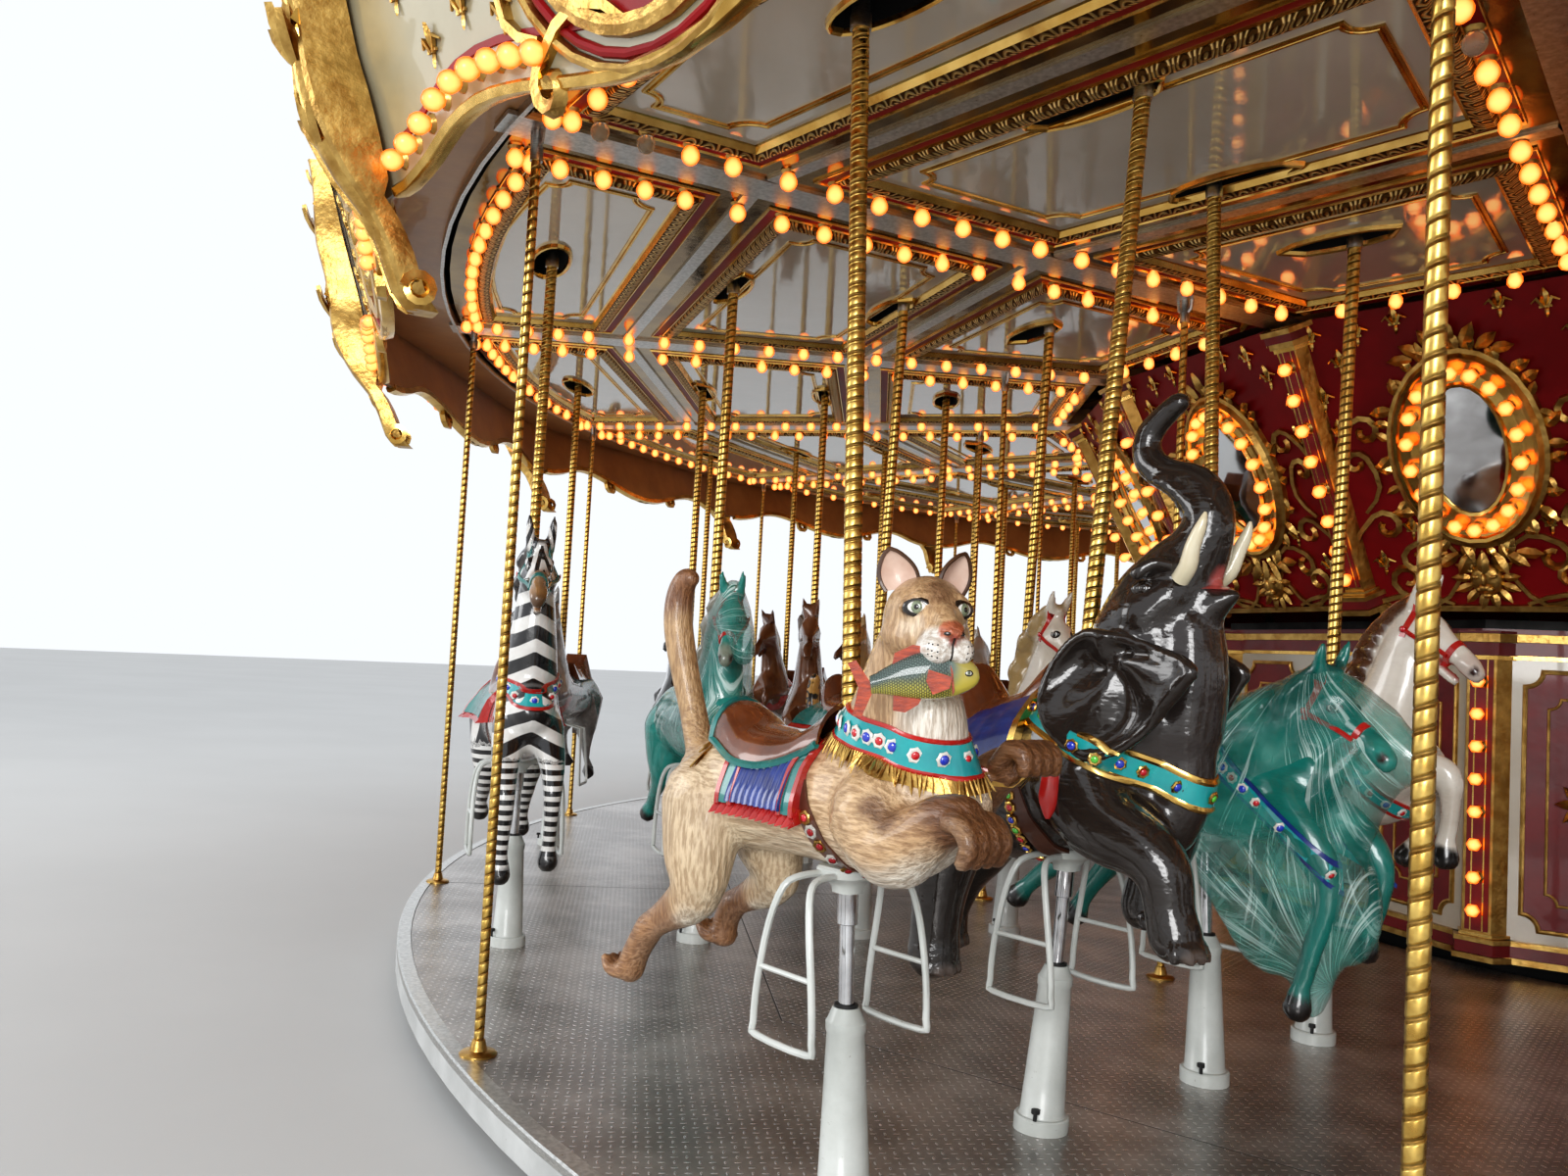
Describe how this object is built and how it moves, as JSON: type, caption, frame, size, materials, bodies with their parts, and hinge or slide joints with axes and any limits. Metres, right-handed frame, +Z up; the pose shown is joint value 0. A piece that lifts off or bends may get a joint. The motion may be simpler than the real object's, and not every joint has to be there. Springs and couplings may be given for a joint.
{
  "type": "fairground carousel",
  "caption": "Four-abreast fairground carousel: a turning deck of carved animals on rising poles under a lit ceiling, round a still centre drum.",
  "frame": {"origin": "on the ground, under the centre mast", "axes": "+Z up; -Y points at the middle of the first bay, which holds the puma; the deck turns counter-clockwise seen from above"},
  "size_m": [16.6342, 16.6342, 5.324],
  "materials": {
    "dark_steel": "matt black paint on steel",
    "gold": "polished and leafed gold",
    "brass_rods": "polished brass",
    "tread_plate": "worn raised-lozenge tread plate",
    "rim_paint": "pale grey paint with a bright top edge",
    "ceiling_gloss": "mirror-gloss cream panel",
    "cream_panel": "cream painted boards",
    "red_panel": "deep red painted boards",
    "roof_skin": "plain cream canopy skin",
    "fawn_coat": "painted and lacquered figure, fawn",
    "elephant_coat": "painted and lacquered figure, dark grey",
    "teal_coat": "painted figure under clear stretch film",
    "white_coat": "painted and lacquered figure, white",
    "zebra_coat": "painted and lacquered figure, striped",
    "leopard_coat": "painted and lacquered figure, spotted"
  },
  "bodies": {
    "base": {"ground_base": "dark_steel", "centre_mast": "dark_steel", "drum_plinth": "dark_steel", "drum_walls": "cream_panel", "drum_roof": "dark_steel", "drum_base_moulding": "gold", "drum_capital_moulding": "gold"},
    "turntable": {"deck_section_1": "tread_plate", "deck_section_2": "tread_plate", "deck_section_3": "tread_plate", "deck_section_4": "tread_plate", "deck_section_5": "tread_plate", "deck_section_6": "tread_plate", "deck_section_7": "tread_plate", "deck_section_8": "tread_plate", "deck_rim": "rim_paint", "deck_joists": "dark_steel", "sweeps_and_rods": "brass_rods", "ceiling_outer": "ceiling_gloss", "ceiling_middle": "ceiling_gloss", "ceiling_inner": "ceiling_gloss", "upper_shields": "red_panel", "rounding_boards": "cream_panel", "board_brackets": "gold", "roof": "roof_skin"},
    "puma": {"puma": "fawn_coat"},
    "elephant": {"elephant": "elephant_coat"},
    "teal_horse": {"teal_horse": "teal_coat"},
    "white_horse": {"white_horse": "white_coat"},
    "zebra": {"zebra": "zebra_coat"},
    "wrapped_horse": {"wrapped_horse": "teal_coat"},
    "leopard": {"leopard": "leopard_coat"},
    "pale_horse": {"pale_horse": "white_coat"},
    "outer_row_figures_1": {"outer_row_figures_1": "white_coat"},
    "outer_row_figures_2": {"outer_row_figures_2": "white_coat"},
    "outer_row_figures_3": {"outer_row_figures_3": "white_coat"},
    "second_row_figures_1": {"second_row_figures_1": "white_coat"},
    "second_row_figures_2": {"second_row_figures_2": "white_coat"},
    "second_row_figures_3": {"second_row_figures_3": "white_coat"},
    "third_row_figures_1": {"third_row_figures_1": "white_coat"},
    "third_row_figures_2": {"third_row_figures_2": "white_coat"},
    "third_row_figures_3": {"third_row_figures_3": "white_coat"},
    "inner_row_figures_1": {"inner_row_figures_1": "white_coat"},
    "inner_row_figures_2": {"inner_row_figures_2": "white_coat"},
    "inner_row_figures_3": {"inner_row_figures_3": "white_coat"}
  },
  "joints": [
    {"name": "turntable_spin", "type": "hinge", "parent": "base", "child": "turntable", "pos_m": [0, 0, 3.3], "axis": [0, 0, 1], "continuous": true},
    {"name": "puma_slide", "type": "slide", "parent": "turntable", "child": "puma", "axis": [-0.0511, 0, 0.9987], "range_m": [-0.18, 0.18]},
    {"name": "elephant_slide", "type": "slide", "parent": "turntable", "child": "elephant", "axis": [0.0699, 0, 0.9976], "range_m": [-0.18, 0.18]},
    {"name": "teal_horse_slide", "type": "slide", "parent": "turntable", "child": "teal_horse", "axis": [-0.0265, 0, 0.9996], "range_m": [-0.18, 0.18]},
    {"name": "white_horse_slide", "type": "slide", "parent": "turntable", "child": "white_horse", "axis": [0.0227, 0, 0.9997], "range_m": [-0.18, 0.18]},
    {"name": "zebra_slide", "type": "slide", "parent": "turntable", "child": "zebra", "axis": [0.0192, -0.008, 0.9998], "range_m": [-0.18, 0.18]},
    {"name": "wrapped_horse_slide", "type": "slide", "parent": "turntable", "child": "wrapped_horse", "axis": [0.0175, -0.0072, 0.9998], "range_m": [-0.18, 0.18]},
    {"name": "leopard_slide", "type": "slide", "parent": "turntable", "child": "leopard", "axis": [0.0611, -0.0253, 0.9978], "range_m": [-0.18, 0.18]},
    {"name": "pale_horse_slide", "type": "slide", "parent": "turntable", "child": "pale_horse", "axis": [0.0601, -0.0249, 0.9979], "range_m": [-0.18, 0.18]},
    {"name": "outer_row_figures_1_slide", "type": "slide", "parent": "turntable", "child": "outer_row_figures_1", "axis": [0, 0, 1], "range_m": [-0.18, 0.18]},
    {"name": "outer_row_figures_2_slide", "type": "slide", "parent": "turntable", "child": "outer_row_figures_2", "axis": [0, 0, 1], "range_m": [-0.18, 0.18]},
    {"name": "outer_row_figures_3_slide", "type": "slide", "parent": "turntable", "child": "outer_row_figures_3", "axis": [0, 0, 1], "range_m": [-0.18, 0.18]},
    {"name": "second_row_figures_1_slide", "type": "slide", "parent": "turntable", "child": "second_row_figures_1", "axis": [0, 0, 1], "range_m": [-0.18, 0.18]},
    {"name": "second_row_figures_2_slide", "type": "slide", "parent": "turntable", "child": "second_row_figures_2", "axis": [0, 0, 1], "range_m": [-0.18, 0.18]},
    {"name": "second_row_figures_3_slide", "type": "slide", "parent": "turntable", "child": "second_row_figures_3", "axis": [0, 0, 1], "range_m": [-0.18, 0.18]},
    {"name": "third_row_figures_1_slide", "type": "slide", "parent": "turntable", "child": "third_row_figures_1", "axis": [0, 0, 1], "range_m": [-0.18, 0.18]},
    {"name": "third_row_figures_2_slide", "type": "slide", "parent": "turntable", "child": "third_row_figures_2", "axis": [0, 0, 1], "range_m": [-0.18, 0.18]},
    {"name": "third_row_figures_3_slide", "type": "slide", "parent": "turntable", "child": "third_row_figures_3", "axis": [0, 0, 1], "range_m": [-0.18, 0.18]},
    {"name": "inner_row_figures_1_slide", "type": "slide", "parent": "turntable", "child": "inner_row_figures_1", "axis": [0, 0, 1], "range_m": [-0.18, 0.18]},
    {"name": "inner_row_figures_2_slide", "type": "slide", "parent": "turntable", "child": "inner_row_figures_2", "axis": [0, 0, 1], "range_m": [-0.18, 0.18]},
    {"name": "inner_row_figures_3_slide", "type": "slide", "parent": "turntable", "child": "inner_row_figures_3", "axis": [0, 0, 1], "range_m": [-0.18, 0.18]}
  ]
}
